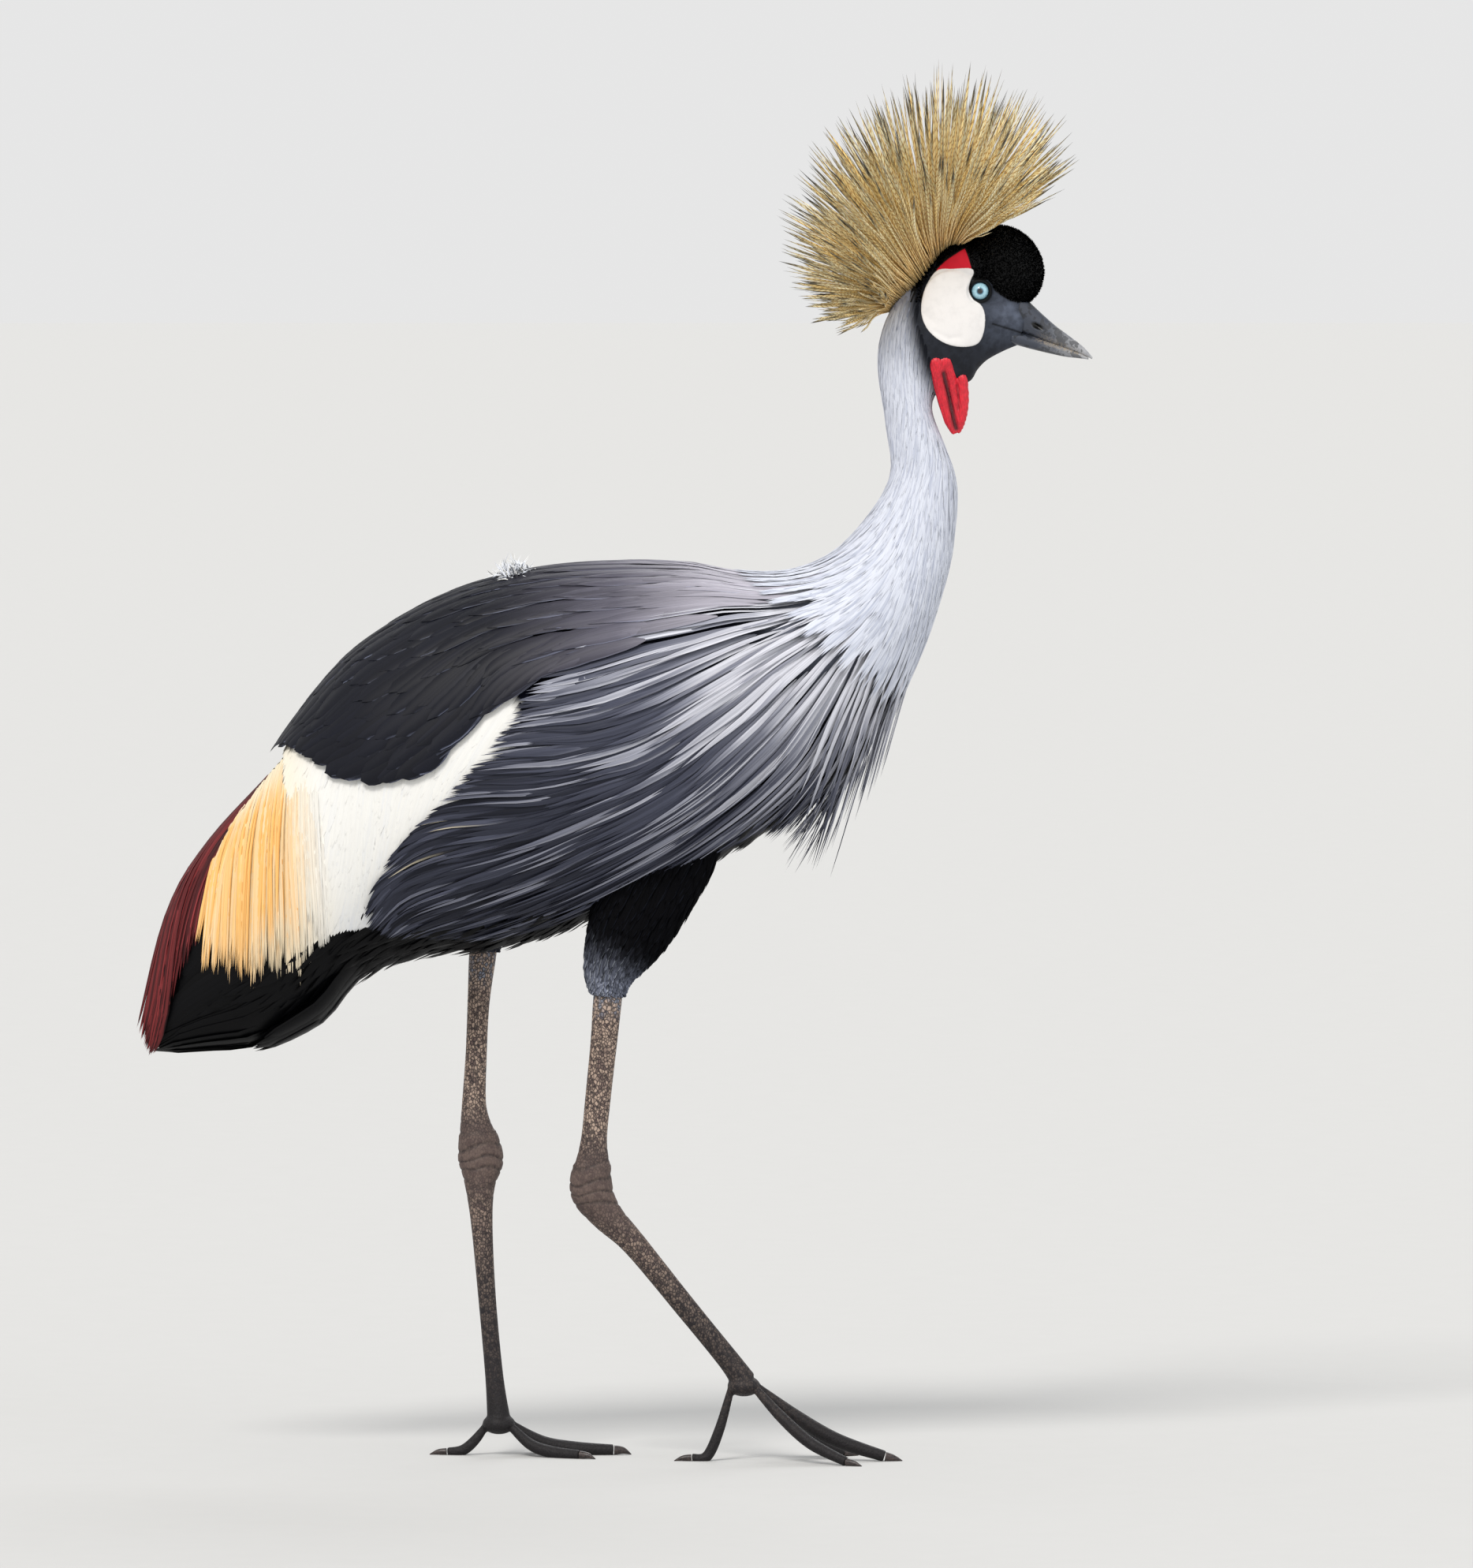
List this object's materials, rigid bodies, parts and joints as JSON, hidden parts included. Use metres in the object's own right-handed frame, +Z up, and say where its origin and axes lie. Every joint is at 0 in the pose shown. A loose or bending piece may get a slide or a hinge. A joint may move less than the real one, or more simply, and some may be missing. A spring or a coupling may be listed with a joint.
{
  "type": "grey crowned crane figure",
  "caption": "Life-size grey crowned crane in mid stride, with a bristle crest, folded wings and long plumes, as a still museum figure.",
  "frame": {"origin": "on the floor, under the middle of the figure's length and width", "axes": "+Z up, +X the way the bird faces, -Y its right side"},
  "size_m": [0.7207, 0.2143, 1.0577],
  "materials": {
    "velvet": "short black velvet plumage with bare white cheeks",
    "eye": "pale blue glossy eye",
    "bill": "slate grey horn, satin",
    "crest": "stiff straw-coloured bristles",
    "wattle": "crimson bare skin, satin",
    "neck_plumage": "pale blue-grey soft plumage",
    "grey_plumage": "slate grey long plumes",
    "slate_plumage": "dark slate plumage",
    "white_plumage": "white coverts",
    "straw_plumage": "golden straw plumes",
    "chestnut_plumage": "chestnut flight feathers",
    "black_plumage": "black plumage",
    "leg_skin": "dark scaled skin",
    "claw": "dark horn"
  },
  "bodies": {
    "root": {"head": "velvet", "eye_left": "eye", "eye_right": "eye", "bill_upper": "bill", "bill_lower": "bill", "crest": "crest", "wattle": "wattle", "neck_upper": "neck_plumage", "neck_lower": "neck_plumage", "torso": "grey_plumage", "mantle": "slate_plumage", "tail": "black_plumage", "wing_left_coverts": "white_plumage", "wing_left_straw_plumes": "straw_plumage", "wing_left_secondaries": "chestnut_plumage", "wing_left_primaries": "black_plumage", "thigh_left": "black_plumage", "shank_left": "leg_skin", "tarsus_left": "leg_skin", "toe_left_middle": "leg_skin", "claw_left_middle": "claw", "toe_left_inner": "leg_skin", "claw_left_inner": "claw", "toe_left_outer": "leg_skin", "claw_left_outer": "claw", "toe_left_hind": "leg_skin", "claw_left_hind": "claw", "wing_right_coverts": "white_plumage", "wing_right_straw_plumes": "straw_plumage", "wing_right_secondaries": "chestnut_plumage", "wing_right_primaries": "black_plumage", "thigh_right": "black_plumage", "shank_right": "leg_skin", "tarsus_right": "leg_skin", "toe_right_middle": "leg_skin", "claw_right_middle": "claw", "toe_right_inner": "leg_skin", "claw_right_inner": "claw", "toe_right_outer": "leg_skin", "claw_right_outer": "claw", "toe_right_hind": "leg_skin", "claw_right_hind": "claw"}
  },
  "joints": []
}
